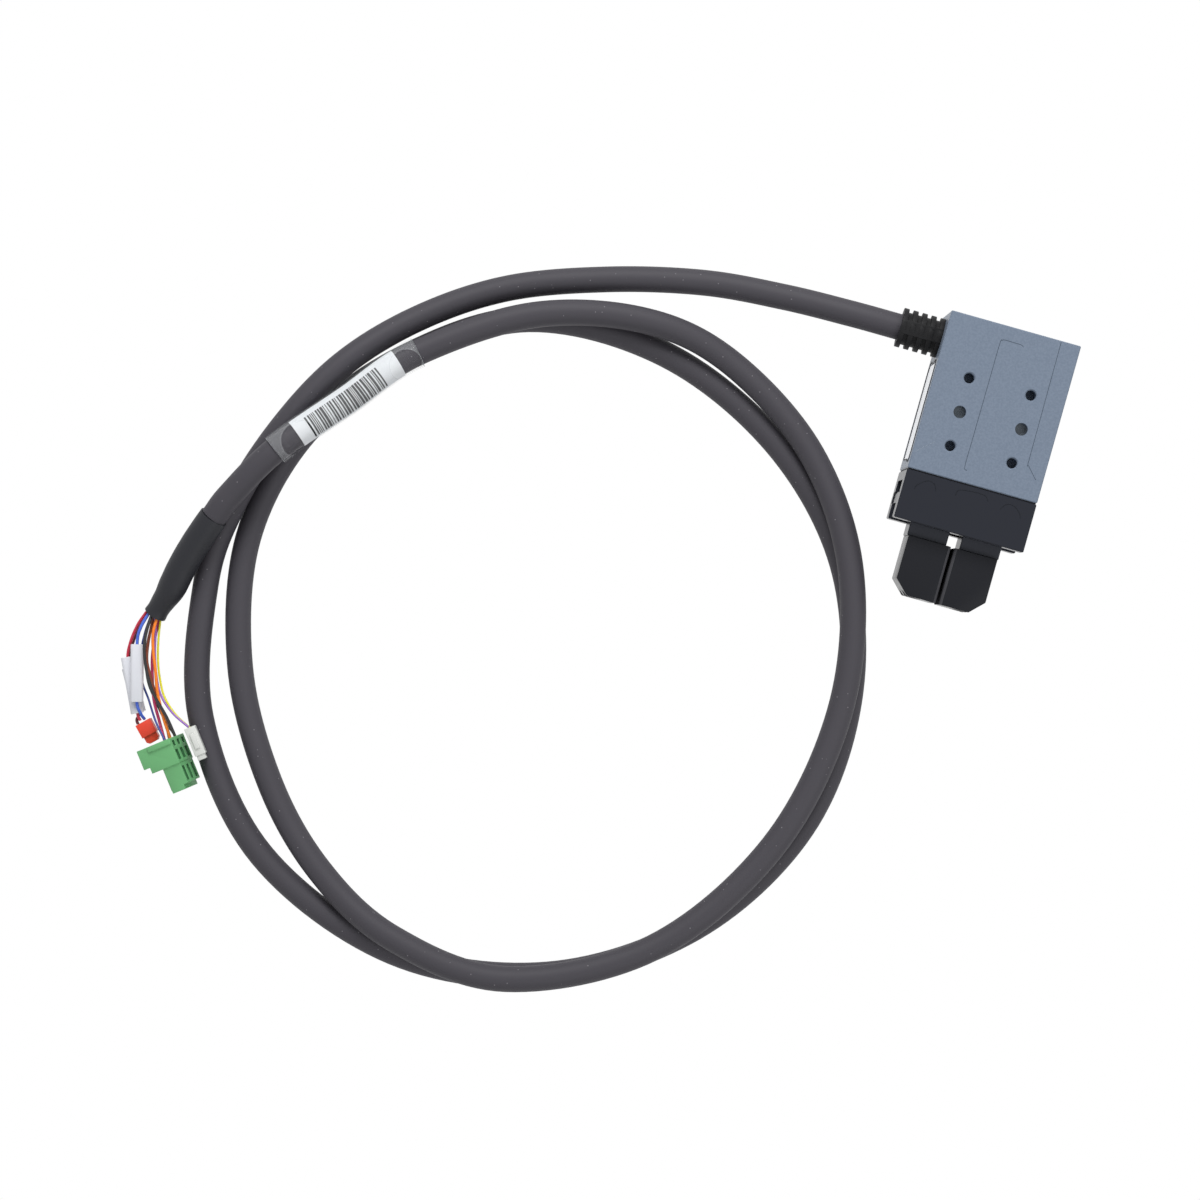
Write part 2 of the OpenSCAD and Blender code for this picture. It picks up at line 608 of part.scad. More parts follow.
module front_screws() color("#8d9095")
    at_front_screws()
        cap_screw(m25, back_y - rack_room_y1 - m25[2] + gasket_t + wall_t + front_boss_l - 0.5);

// Jaws, drawn for the right side and mirrored for the left side
module on_side(left)
    mirror([left ? 1 : 0, 0, 0]) children();

module base_jaw(other_rack_side) difference() {
    union() {
        block([jaw_x0, flange_y0, axis_z - flange_h / 2], [flange_x1, flange_y1, axis_z + flange_h / 2]);
        bevelled([jaw_x0, seam_y, axis_z - jaw_h / 2], [jaw_x1, flange_y0 + cut, axis_z + jaw_h / 2], 0.25);
    }
    // relief behind the flange for the rack that passes it
    translate([0, 0, axis_z]) mirror([0, 0, other_rack_side > 0 ? 0 : 1])
        block([0, flange_y1 - rack_relief, pitch_r(rack_gear_teeth) - tooth_m - 0.3],
            [side_x, flange_y1 + cut, rack_high_z1 - axis_z + 0.1]);
    at_jaw_screws() rod_z(0, 0, m3[0] + fixed_fit, finger_seat_y - seam_y - jaw_thread_l, cut);
    translate([0, 0, axis_z]) mirror([0, 0, other_rack_side > 0 ? 1 : 0]) translate([0, 0, -axis_z])
        at_rack_screws() rod_z(0, 0, m16[0] + fixed_fit, -rack_screw_l - 0.3, 0);
}

module left_base_jaw() color("#26272a")
    on_side(true) base_jaw(-1);

module right_base_jaw() color("#26272a")
    on_side(false) base_jaw(1);

// Racks: the left jaw's rack runs over the rack gear and the right one's under it
rack_pitch = PI * tooth_m;
rack_gear_pitch_z = axis_z + pitch_r(rack_gear_teeth);
rack_root_z = rack_gear_pitch_z + 1.25 * tooth_m;
rack_high_z1 = rack_root_z + 3;
rack_low_z0 = body_h - rack_high_z1;
rack_back_teeth = 2;
rack_front_teeth = 5;
rack_x0 = -(rack_front_teeth + 0.4) * rack_pitch;   // end towards the other jaw
rack_x1 = flange_x1 - 1;
rack_screw_l = 6;
rack_screw_xs = [rack_x1 - 2.6, rack_x1 - 12.6];

module at_rack_screws()
    for (x = rack_screw_xs)
        translate([x, rack_y1, (rack_root_z + rack_high_z1) / 2]) rotate([-90, 0, 0]) children();

function rack_tooth(x) = let (
    half = rack_pitch / 4 - tooth_thin / 2,
    foot = half + 1.25 * tooth_m * tan(pressure_angle),
    tip = half - tooth_m * tan(pressure_angle))
    [[x - foot, rack_root_z], [x - tip, rack_gear_pitch_z - tooth_m],
     [x + tip, rack_gear_pitch_z - tooth_m], [x + foot, rack_root_z]];

// The rack of a right-hand jaw, with its teeth down
module rack() difference() {
    across_y(flange_y1, rack_y1) polygon(concat(
        [[rack_x0, rack_root_z]],
        [for (k = [-rack_front_teeth : rack_back_teeth - 1]) each rack_tooth((k + 0.5) * rack_pitch)],
        [[rack_x1, rack_root_z], [rack_x1, rack_high_z1], [rack_x0, rack_high_z1]]));
    at_rack_screws() flush_hole(m16, rack_t + cut);
}

module turned_rack()
    translate([0, 0, body_h]) mirror([0, 0, 1]) children();

module left_rack() color("#9a9da2")
    on_side(true) rack();

module right_rack() color("#9a9da2")
    turned_rack() rack();

module left_rack_screws() color("#6f7277")
    on_side(true) at_rack_screws() flush_screw(m16, rack_screw_l);

module right_rack_screws() color("#6f7277")
    turned_rack() at_rack_screws() flush_screw(m16, rack_screw_l);

// Fingers, drawn for the right side
module finger() difference() {
    intersection() {
        linear_extrude(body_h) polygon([
            [finger_gap / 2, tip_y], [finger_out - finger_corner, tip_y],
            [finger_out, tip_y + finger_corner], [finger_out, seam_y],
            [finger_gap / 2, seam_y]]);
        across_y(tip_y, seam_y) finger_section();
    }
    at_jaw_screws() {
        rod_z(0, 0, m3[1] + 0.25, 0, finger_l);
        rod_z(0, 0, m3[0] + 0.1, -finger_l, cut);
    }
}

module finger_section() {
    low = axis_z - finger_h / 2;
    high = axis_z + finger_h / 2;
    polygon([
        [finger_gap / 2 + finger_bevel, low], [finger_out - 0.3, low], [finger_out, low + 0.3],
        [finger_out, high - 0.3], [finger_out - 0.3, high], [finger_gap / 2 + finger_bevel, high],
        [finger_gap / 2, high - finger_bevel], [finger_gap / 2, low + finger_bevel]]);
}

module left_finger() color("#17181a")
    on_side(true) finger();

module right_finger() color("#17181a")
    on_side(false) finger();

module finger_screws()
    at_jaw_screws() cap_screw(m3, seam_y - finger_seat_y + jaw_thread_l - 1);

module left_finger_screws() color("#2b2c2f")
    on_side(true) finger_screws();

module right_finger_screws() color("#2b2c2f")
    on_side(false) finger_screws();

// Output shaft with its rack gear, and the gear that turns it
module output_shaft() color("#a9acb1") {
    gear(rack_gear_teeth, 0, axis_z, rack_gear_y0, rack_gear_y1, 90);
    rod_y(0, axis_z, shaft_r, rack_gear_y0 + 0.2, shaft_y1);
}

module output_gear() color("#b58d4a") difference() {
    union() {
        gear(wheel_teeth, 0, axis_z, output_y0, output_y1, counter_angle);
        rod_y(0, axis_z, shaft_r + 1.2, output_y0, output_y1 + 0.2);
    }
    rod_y(0, axis_z, shaft_r + fixed_fit, output_y0 - cut, output_y1 + cut);
}

module front_bearing() color("#c9ccd0")
    ring_y(0, axis_z, front_bearing_r, shaft_r + fixed_fit, back_y - front_bearing_t, back_y);

module rear_bearing() color("#c9ccd0")
    ring_y(0, axis_z, rear_bearing_r, shaft_r + fixed_fit, plate_y0, plate_y0 + rear_bearing_t);

module shaft_spacer() color("#8d9095")
    ring_y(0, axis_z, shaft_r + 0.8, shaft_r + turn_fit, reduction_y2 + 0.1, plate_y0 - turn_fit);

// Reduction gear, free on the output shaft
module reduction_gear() color("#b58d4a") difference() {
    union() {
        gear(small_teeth, 0, axis_z, reduction_y0, reduction_y1 + 0.2, counter_angle + 180 / small_teeth);
        gear(wheel_teeth, 0, axis_z, reduction_y1, reduction_y2, motor_angle);
    }
    rod_y(0, axis_z, shaft_r + turn_fit, reduction_y0 - cut, reduction_y2 + cut);
}

// Counter gear on its fixed pin
module counter_gear() color("#b58d4a") difference() {
    union() {
        gear(small_teeth, counter_x, counter_z, output_y0, counter_y1 + 0.2,
            counter_angle + 180 + 180 / small_teeth);
        gear(wheel_teeth, counter_x, counter_z, counter_y1, counter_y2, counter_angle + 180);
    }
    rod_y(counter_x, counter_z, pin_r + turn_fit, output_y0 - cut, counter_y2 + cut);
}

// Fixed pin with the collar that holds the counter gear back
module counter_pin() color("#c9ccd0") {
    rod_y(counter_x, counter_z, pin_r, room_y0 - 1.4, plate_y0 + 1.9);
    rod_y(counter_x, counter_z, pin_r + 0.8, counter_y2 + gear_gap, plate_y0 - turn_fit);
}

// Plate that carries the gear train's rear ends and the motor
module gear_plate() color("#a4a8ae") difference() {
    bevelled([-plate_x, plate_y0, plate_z0], [plate_x, plate_y1, plate_z1], 0.2);
    rod_y(0, axis_z, rear_bearing_r + fixed_fit, plate_y0 - cut, plate_y0 + rear_bearing_t);
    rod_y(0, axis_z, shaft_r + 0.4, plate_y0, shaft_y1 + 0.1);
    rod_y(counter_x, counter_z, pin_r + fixed_fit, plate_y0 - cut, plate_y0 + 2);
    rod_y(motor_x, motor_z, motor_shaft_r + 0.5, plate_y0 - cut, plate_y1 + cut);
    rod_y(motor_x, motor_z, pilot_r + fixed_fit, plate_y1 - pilot_l, plate_y1 + cut);
    at_plate_screws() rod_z(0, 0, m2[0] + turn_fit, -gear_plate_t - cut, cut);
    at_motor_screws() {
        rod_z(0, 0, m2[0] + turn_fit, -gear_plate_t, cut);
        rod_z(0, 0, m2[1] + turn_fit, 0, 2);
    }
}

module plate_screws() color("#8d9095")
    at_plate_screws() cap_screw(m2, gear_plate_t + lug_t - 0.3);

// Motor
module motor_front_bell() color("#a4a8ae") difference() {
    union() {
        rod_y(motor_x, motor_z, can_r, plate_y1, bell_y1);
        rod_y(motor_x, motor_z, pilot_r, plate_y1 - pilot_l + 0.1, plate_y1 + cut);
    }
    rod_y(motor_x, motor_z, motor_shaft_r + 0.3, plate_y0, bell_y1 + cut);
    rod_y(motor_x, motor_z, motor_bush_r + fixed_fit, bell_y1 - motor_bush_l, bell_y1 + cut);
    at_motor_screws() rod_z(0, 0, m2[0] + fixed_fit, -gear_plate_t - bell_t, 0);
}

module motor_can() color("#c2c5ca")
    ring_y(motor_x, motor_z, can_r, can_r - can_t, bell_y1, can_y1);

module motor_rear_cap() color("#26272a") difference() {
    union() {
        rod_y(motor_x, motor_z, can_r, can_y1, cap_y1);
        for (sx = [-1, 1])
            rod_y(motor_x + sx * encoder_post_x, motor_z, 1.1, cap_y1 - cut, encoder_y0);
    }
    rod_y(motor_x, motor_z, motor_shaft_r + 0.3, can_y1 - cut, cap_y1 + cut);
    rod_y(motor_x, motor_z, motor_bush_r + fixed_fit, can_y1 - cut, can_y1 + motor_bush_l);
}

module motor_bearings() color("#c9ccd0")
    for (y = [bell_y1 - motor_bush_l, can_y1])
        ring_y(motor_x, motor_z, motor_bush_r, motor_shaft_r + fixed_fit, y, y + motor_bush_l);

module motor_stator() color("#b06a3a")
    ring_y(motor_x, motor_z, can_r - can_t - turn_fit, can_r - can_t - stator_t, stack_y0, stack_y1);

module motor_rotor() color("#8d9095")
    ring_y(motor_x, motor_z, rotor_r, motor_shaft_r + fixed_fit, stack_y0, stack_y1);

module motor_shaft() color("#c9ccd0")
    rod_y(motor_x, motor_z, motor_shaft_r, pinion_y0, magnet_y0 + 0.8);

module motor_pinion() color("#b58d4a") difference() {
    gear(motor_teeth, motor_x, motor_z, pinion_y0, pinion_y1, motor_angle + 180 + 180 / motor_teeth);
    rod_y(motor_x, motor_z, motor_shaft_r + fixed_fit, pinion_y0 - cut, pinion_y1 + cut);
}

module motor_screws() color("#6f7277")
    at_motor_screws() cap_screw([m2[0], m2[1], 1.1], gear_plate_t - 1.2 + bell_t - 1);

module encoder_magnet() color("#3a3c40") difference() {
    rod_y(motor_x, motor_z, magnet_r, magnet_y0, magnet_y1);
    rod_y(motor_x, motor_z, motor_shaft_r + fixed_fit, magnet_y0 - cut, magnet_y0 + 0.9);
}

module encoder_board() color("#1f6b45") {
    block([motor_x - encoder_w / 2, encoder_y0, motor_z - encoder_w / 2],
        [motor_x + encoder_w / 2, encoder_y0 + encoder_t, motor_z + encoder_w / 2]);
    block([motor_x - 1.6, encoder_y0 - 0.7, motor_z - 1.6],
        [motor_x + 1.6, encoder_y0 + 0.2, motor_z + 1.6]);
}

// Three wires from the motor's rear cap to their header on the board
module motor_leads() color("#a03030")
    for (i = [0 : 2])
        cord([
            [motor_x - can_r + 1, cap_y1, motor_z - 1.3 + i * 1.3],
            [motor_x - can_r + 1, cap_y1 + 0.5, motor_z - 1.3 + i * 1.3],
            [motor_x - can_r + 0.4, cap_y1 + 1.4, motor_z - 1.2 + i * 1.3],
            [motor_header_x + 2 + i * 0.4, cap_y1 + 0.6, motor_z - 0.8 + i * 1.2],
            [motor_header_x + 0.2 + i * 0.6, cap_y1 - 3, motor_z - 0.6 + i],
            [motor_header_x + i - 1, header_y1 + 4, board_z1 + 2.6],
            [motor_header_x + i - 1, header_y1, board_z1 + 1.6]], 0.35, 8);

// Control board and what stands on it
motor_header_x = board_x1 - 2.2;
header_y1 = board_y0 + 10.6;
header_l = 4;
plug_x0 = board_x0 + board_hole + m16[1] + 0.6;
plug_x1 = board_x1 - board_hole - m16[1] - 0.6;
plug_l = 5;
plug_h = 4.5;

module control_board() color("#1f6b45") difference() {
    block([board_x0, board_y0, board_z0], [board_x1, board_y1, board_z1]);
    at_board_screws() rod_z(0, 0, m16[0] + turn_fit, -board_t - cut, cut);
}

module board_parts() color("#2a2b2e") {
    // processor, two drivers and their coil
    block([board_x0 + 5.2, board_y0 + 3, board_z1], [board_x0 + 11.2, board_y0 + 9, board_z1 + 1]);
    for (x = [board_x0 + 1, board_x0 + 6.4])
        block([x, board_y0 + 10, board_z1], [x + 3.6, board_y0 + 11.6, board_z1 + 0.9]);
    block([board_x0 + 0.6, board_y0 + 5, board_z1], [board_x0 + 4.2, board_y0 + 8.6, board_z1 + 2]);
    // two round capacitors
    for (y = [board_y0 + 1.4, board_y0 + 4.8])
        rod_z(board_x1 - 5.4 + (y - board_y0) * 0.1, y + 0.5, 1.4, board_z1, board_z1 + 4);
    // header of the motor wires
    block([motor_header_x - 1.7, header_y1 - header_l, board_z1],
        [motor_header_x + 1.7, header_y1, board_z1 + 2.8]);
}

module board_connector() color("#e4e2d8")
    block([plug_x0, board_y1 - plug_l, board_z1], [plug_x1, board_y1, board_z1 + plug_h]);

module board_screws() color("#b9bcc0")
    at_board_screws() cap_screw(m16, board_t + board_post_h - 0.6);

// Cable outlet in the left wall
module cable_boot() color("#232427") difference() {
    union() {
        rod_x(cable_y, axis_z, boot_neck_r, boot_x0, -room_x + cut);
        rod_x(cable_y, axis_z, boot_flange_r, -room_x, -room_x + boot_flange_t);
        for (i = [0 : boot_rings - 1])
            rod_x(cable_y, axis_z, boot_r,
                boot_ring_x(i) - boot_ring_l / 2, boot_ring_x(i) + boot_ring_l / 2);
        // spines along the top and the bottom that join the rings
        block([boot_ring_x(boot_rings - 1), cable_y - boot_spine_w / 2, axis_z - boot_spine_h],
            [-side_x, cable_y + boot_spine_w / 2, axis_z + boot_spine_h]);
    }
    rod_x(cable_y, axis_z, boot_bore_r, boot_x0 - cut, -room_x + boot_flange_t + cut);
}
boot_rings = 5;
boot_spine_w = 4.4;
boot_spine_h = boot_r - 0.25;
boot_ring_l = 1.5;
boot_pitch = (boot_l - boot_ring_l) / (boot_rings - 1);
function boot_ring_x(i) = -side_x - boot_ring_l / 2 - i * boot_pitch;

module inner_cable() color("#3a3b3f")
    rod_x(cable_y, axis_z, cable_r, boot_x0, inner_end_x);

// Collar that keeps the cable from being pulled out
module cable_collar() color("#a4a8ae") difference() {
    rod_x(cable_y, axis_z, cable_r + 2, collar_x0, collar_x0 + collar_l);
    rod_x(cable_y, axis_z, cable_r + fixed_fit, collar_x0 - cut, collar_x0 + collar_l + cut);
    rod_z(collar_x0 + collar_l / 2, cable_y, m2[0] + fixed_fit, axis_z, axis_z + cable_r + 3);
}

module collar_screw() color("#6f7277") difference() {
    rod_z(collar_x0 + collar_l / 2, cable_y, m2[0], axis_z + cable_r + 0.05, axis_z + cable_r + 2);
    translate([collar_x0 + collar_l / 2, cable_y, axis_z + cable_r + 1])
        cylinder(r = m2[0] * 0.5, h = 2, $fn = 6);
}

// Six wires from the cable's end to the connector on the board
module inner_leads() color("#c8a030")
    for (i = [0 : 5]) {
        plug_x = plug_x0 + (plug_x1 - plug_x0) * (i + 1) / 7;
        start = [inner_end_x, cable_y + 2.4 * cos(60 * i - 150), axis_z + 2.4 * sin(60 * i - 150)];
        cord([
            start, start + [2.4, 0, 0],
            [plug_x + 2.6, cable_y - cable_r - 1, axis_z - 2.6],
            [plug_x, board_y1 + 1.6, board_z1 + 2.4],
            [plug_x, board_y1, board_z1 + 2.4]], 0.4, 8);
    }

// The cable outside, and what is on it
module cable() color("#3a3b3f")
    cord(cable_route, cable_r, 12);

module cable_label() color("#d8dde2") {
    run = label_ends[1] - label_ends[0];
    translate(label_ends[0]) rotate([0, acos(run.z / norm(run)), atan2(run.y, run.x)]) difference() {
        cylinder(r = label_r, h = norm(run));
        translate([0, 0, -cut]) cylinder(r = cable_r + 0.3, h = norm(run) + 2 * cut);
    }
}

module heat_shrink() color("#1a1a1c") {
    tube(shrink_route, shrink_radii, 12);
}

module lead_wires()
    for (lead = lead_list)
        color(lead[1]) cord(lead[2], lead[0], 8);

module flat_sleeve(w, h) {
    square([w - h, h], center = true);
    for (sx = [-1, 1])
        translate([sx * (w - h) / 2, 0]) circle(h / 2);
}

module wire_markers() color("#e9ebee")
    for (marker = marker_list)
        translate(marker[0]) rotate([0, 0, marker[1]]) rotate([90, 0, 90]) difference() {
            linear_extrude(marker[2]) flat_sleeve(4.2, 2.2);
            translate([0, 0, -cut]) linear_extrude(marker[2] + 2 * cut) flat_sleeve(3.4, 1.6);
        }

// Small red plug: its back is at the origin and it points along +X
module red_plug() color("#e23b28")
    translate(red_plug_at) rotate([0, 0, red_plug_turn]) difference() {
        union() {
            block([0, -2.6, 0], [4.6, 2.6, 4.4]);
            linear_extrude(3.6)
                polygon([[4.6, -2.2], [6.4, -2.2], [7.2, -1.4], [7.2, 1.4], [6.4, 2.2], [4.6, 2.2]]);
        }
        for (y = [-1.3, 0, 1.3])
            rod_x(y, 1.8, 0.4, 5.4, 8);
    }

// Green terminal block with its plug part
module green_terminal() color("#4fae62")
    translate(terminal_at) rotate([0, 0, terminal_turn]) rotate([0, terminal_tilt, 0]) difference() {
        union() {
            block([0, 0, 0], [12.4, 8.4, 11]);
            block([6, -8.4, 0.4], [10.6, 0.2, 10.4]);
            block([10.4, -6.8, 0.4], [12.2, 0.2, 10.4]);
            for (z = [1.4, 4.9, 8.4])
                block([5.4, -7.6, z], [6.2, 0.2, z + 1]);
            block([4, 6.6, 10.8], [12.4, 8.4, 11.6]);
        }
        // step in the front left edge
        block([-cut, -cut, -cut], [2.2, 2, 12]);
        // openings in the end face
        for (i = [0 : 2]) {
            block([11.2, 5.6, 0.9 + i * 3.5], [13.4, 7.4, 2.7 + i * 3.5]);
            block([10.4, 1, 0.8 + i * 3.5], [13.4, 4.4, 2.9 + i * 3.5]);
            block([10.9, -6, 1.1 + i * 3.3], [13.4, -1.2, 2.9 + i * 3.3]);
        }
    }

module white_plug() color("#e8e4d6")
    translate([terminal_at.x, terminal_at.y, white_plug_lift]) rotate([0, 0, terminal_turn]) difference() {
        union() {
            block([13.5, -0.2, 0], [17.1, 9.2, 3.6]);
            block([13.9, -1.8, 0.5], [16.7, 0, 3.1]);
            block([14.5, 2, 3.4], [16.1, 7, 4.2]);
        }
        for (x = [14.2, 15.5])
            block([x, -2.8, 1], [x + 0.9, 0.4, 2.6]);
    }

main_housing();
bottom_cover();
cover_gasket();
cover_screws();
side_plate();
front_housing();
front_gasket();
front_screws();
left_base_jaw();
right_base_jaw();
left_rack();
right_rack();
left_rack_screws();
right_rack_screws();
left_finger();
right_finger();
left_finger_screws();
right_finger_screws();
output_shaft();
output_gear();
front_bearing();
rear_bearing();
shaft_spacer();
reduction_gear();
counter_gear();
counter_pin();
gear_plate();
plate_screws();
motor_front_bell();
motor_can();
motor_rear_cap();
motor_bearings();
motor_stator();
motor_rotor();
motor_shaft();
motor_pinion();
motor_screws();
motor_leads();
encoder_magnet();
encoder_board();
control_board();
board_parts();
board_connector();
board_screws();
cable_boot();
inner_cable();
cable_collar();
collar_screw();
inner_leads();
cable();
cable_label();
heat_shrink();
lead_wires();
wire_markers();
red_plug();
green_terminal();
white_plug();
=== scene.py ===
"""Electric two finger gripper with its captive, coiled cable. Metres, in the part's own frame."""
import json
import math
import random

import bmesh
import bpy
from mathutils import Matrix, Vector


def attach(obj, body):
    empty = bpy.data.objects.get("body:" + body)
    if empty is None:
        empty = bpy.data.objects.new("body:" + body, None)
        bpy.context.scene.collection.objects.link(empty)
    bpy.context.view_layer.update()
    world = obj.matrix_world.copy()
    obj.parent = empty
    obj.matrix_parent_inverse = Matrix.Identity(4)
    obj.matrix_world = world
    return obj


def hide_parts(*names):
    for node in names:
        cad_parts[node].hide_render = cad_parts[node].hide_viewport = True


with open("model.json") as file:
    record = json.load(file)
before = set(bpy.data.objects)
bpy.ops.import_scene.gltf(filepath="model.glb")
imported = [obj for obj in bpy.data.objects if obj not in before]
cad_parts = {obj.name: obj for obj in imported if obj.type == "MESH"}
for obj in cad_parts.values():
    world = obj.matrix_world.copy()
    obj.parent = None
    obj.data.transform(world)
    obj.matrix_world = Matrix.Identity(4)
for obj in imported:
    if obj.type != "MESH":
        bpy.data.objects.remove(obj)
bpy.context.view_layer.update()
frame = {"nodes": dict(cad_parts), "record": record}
nodes = frame["nodes"]
MM = 0.001

# ---- Camera ----
# It stands straight above the coil, about a metre up, and is turned so that the
# gripper's fingers point to the lower right.


def placed(name, data):
    """A new object in the scene."""
    made = bpy.data.objects.new(name, data)
    bpy.context.scene.collection.objects.link(made)
    return made


camera_data = bpy.data.cameras.new("camera")
camera_data.sensor_width = 36
camera_data.lens = 98.79
camera_data.clip_start = 0.05
camera_data.clip_end = 20
camera = placed("camera", camera_data)
camera.location = (-102.35 * MM, -72.25 * MM, 1057 * MM)
camera.rotation_euler = (0, 0, math.radians(15.7))
bpy.context.scene.camera = camera

# ---- Cable ----
# Shielded data and power cable with an 8.3 mm matt PVC jacket. It leaves the boot in
# the left wall, makes two and a half loose turns and ends in a heat shrink.
boot_end = (-34.4, 36.65, 14)
cable_route = [
    boot_end, (-36.4, 36.65, 14), (-50, 36.75, 12.6), (-72, 36.6, 7.4), (-98, 34.3, 4.7), (-128, 27, 4.3),
    (-158, 15.5, 4.6), (-182.5, -1.5, 6.8), (-201.5, -22.5, 10.8), (-214.5, -47.5, 11.8),
    (-223, -74.5, 8.6), (-225, -101.5, 4.6), (-215, -143, 4.2), (-184.5, -180, 4.2),
    (-135.5, -198.5, 4.2), (-86, -192, 4.2), (-45, -165, 4.2), (-20.5, -125, 4.2), (-17, -81, 4.2),
    (-31, -40, 4.2), (-61.5, -9, 4.2), (-103.5, 9, 4.2), (-148.5, 8, 4.2), (-184, -15, 4.2),
    (-207.5, -46, 4.2), (-216, -83.5, 4.2), (-207.5, -123.5, 4.2), (-188.5, -156.5, 4.6),
    (-165, -179.5, 7.4), (-136.5, -193.5, 11.4), (-98.5, -196, 12.8), (-56.5, -174, 12.8),
    (-28.5, -133, 12.4), (-19.5, -86, 12.4), (-28, -42.5, 12.6), (-50, -9.5, 10.2),
    (-82, 11.5, 8.8), (-112, 17, 11.6), (-147, 9, 13.4), (-179, -12.5, 15.4),
    (-196.5, -33.5, 18.2), (-213.5, -54.5, 20.8), (-223.6, -72, 18.4), (-227, -80, 16.4)]
jacket_r = 4.15
jacket_grey = "#424046"


def linear(hex_colour):
    """An sRGB hex colour as linear RGBA."""
    parts = [int(hex_colour[i:i + 2], 16) / 255 for i in (1, 3, 5)]
    return [p / 12.92 if p <= 0.04045 else ((p + 0.055) / 1.055) ** 2.4 for p in parts] + [1]


def node(tree, kind, settings=None, **links):
    """Adds a shader node. A link names an input, or i and its number, and gives a socket or a value."""
    made = tree.nodes.new(kind)
    for key, value in (settings or {}).items():
        setattr(made, key, value)
    for key, value in links.items():
        socket = made.inputs[int(key[1:]) if key[1:].isdigit() else key.replace("_", " ")]
        if isinstance(value, bpy.types.NodeSocket):
            tree.links.new(value, socket)
        else:
            socket.default_value = value
    return made


def finish(name, colour, roughness, metallic=0.0, **sockets):
    """A Principled material, with the shader's other sockets by name."""
    made = bpy.data.materials.new(name)
    made.use_nodes = True
    shader = made.node_tree.nodes["Principled BSDF"]
    shader.inputs["Base Color"].default_value = linear(colour)
    shader.inputs["Roughness"].default_value = roughness
    shader.inputs["Metallic"].default_value = metallic
    for key, value in sockets.items():
        shader.inputs[key.replace("_", " ")].default_value = value
    made.diffuse_color = linear(colour)
    return made


def shading(material):
    """The node tree of a material and its Principled shader."""
    return material.node_tree, material.node_tree.nodes["Principled BSDF"]


def grain(material, grain_mm, height_mm, strength):
    """Fine relief of one grain size over the whole surface. Returns the place on the piece."""
    tree, shader = shading(material)
    place = node(tree, "ShaderNodeTexCoord").outputs["Object"]
    noise = node(tree, "ShaderNodeTexNoise", Vector=place, Scale=1 / (grain_mm * MM), Detail=2.0)
    bump = node(tree, "ShaderNodeBump", Height=noise.outputs["Fac"], Distance=height_mm * MM,
                Strength=strength)
    tree.links.new(bump.outputs["Normal"], shader.inputs["Normal"])
    return place


def mottle(material, place, size_mm, colours):
    """Soft patches of two colours, with the patch size in millimetres."""
    tree, shader = shading(material)
    noise = node(tree, "ShaderNodeTexNoise", Vector=place, Scale=1 / (size_mm * MM), Detail=3.0)
    ramp = node(tree, "ShaderNodeValToRGB", Fac=noise.outputs["Fac"])
    for element, position, colour in zip(ramp.color_ramp.elements, (0.35, 0.65), colours):
        element.position = position
        element.color = linear(colour)
    tree.links.new(ramp.outputs["Color"], shader.inputs["Base Color"])


def bezier(name, points, radius, resolution, sides):
    """A round cord through points in millimetres, as a Catmull-Rom curve."""
    data = bpy.data.curves.new(name, "CURVE")
    data.dimensions = "3D"
    data.bevel_depth = radius * MM
    data.bevel_resolution = sides
    data.resolution_u = resolution
    data.render_resolution_u = resolution
    data.use_fill_caps = True
    spline = data.splines.new("BEZIER")
    spline.bezier_points.add(len(points) - 1)
    ends = [2 * Vector(points[0]) - Vector(points[1]), 2 * Vector(points[-1]) - Vector(points[-2])]
    padded = [ends[0], *map(Vector, points), ends[1]]
    for i, knot in enumerate(spline.bezier_points):
        lean = (padded[i + 2] - padded[i]) / 6
        knot.co = padded[i + 1] * MM
        knot.handle_left_type = knot.handle_right_type = "FREE"
        knot.handle_left = (padded[i + 1] - lean) * MM
        knot.handle_right = (padded[i + 1] + lean) * MM
    return placed(name, data)


# Matt PVC: dark grey, a faint orange-peel from the extrusion and a little pale dust.
jacket = finish("matt_pvc_jacket", jacket_grey, 0.6, Specular_IOR_Level=0.3)
place = grain(jacket, 1.3, 0.05, 0.5)
tree, shader = shading(jacket)
specks = node(tree, "ShaderNodeTexVoronoi", Vector=place, Scale=1 / (2.6 * MM))
dust = node(tree, "ShaderNodeMapRange", i0=specks.outputs["Distance"], i1=0.05, i2=0.075, i3=1.0, i4=0.0)
tint = node(tree, "ShaderNodeMix", {"data_type": "RGBA"}, i0=dust.outputs[0],
            i6=linear(jacket_grey), i7=linear("#828085"))
tree.links.new(tint.outputs[2], shader.inputs["Base Color"])

cable = bezier("cable_jacket", cable_route, jacket_r, 14, 8)
cable.data.materials.append(jacket)
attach(cable, "housing")
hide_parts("cable")

# ---- Clear sleeve with its paper slip ----
# Transparent PVC tube pushed over the cable, with a printed paper slip inside it. Only
# generic bars of uneven width stand for the print.
label_from, label_to = 39, 41  # points of the cable's route
label_r = 5.0
film_wall = 0.35
film_squash = (1.0, 0.98)
film_steps = 10
fine_steps = 100
slip_r = 4.48
paper_thick = 0.1
bar_r = 4.53
ink_thick = 0.03
bars_from, bars_to = 0.245, 0.75  # shares of the sleeve's length


def on_curve(points, i, t):
    """Centre of a cord in millimetres, t of the way from point i to the next."""
    before = Vector(points[i - 1]) if i else 2 * Vector(points[0]) - Vector(points[1])
    last = i + 2 > len(points) - 1
    after = 2 * Vector(points[-1]) - Vector(points[-2]) if last else Vector(points[i + 2])
    here, there = Vector(points[i]), Vector(points[i + 1])
    return 0.5 * (2 * here + (there - before) * t + (2 * before - 5 * here + 4 * there - after) * t * t
                  + (3 * here - before - 3 * there + after) * t ** 3)


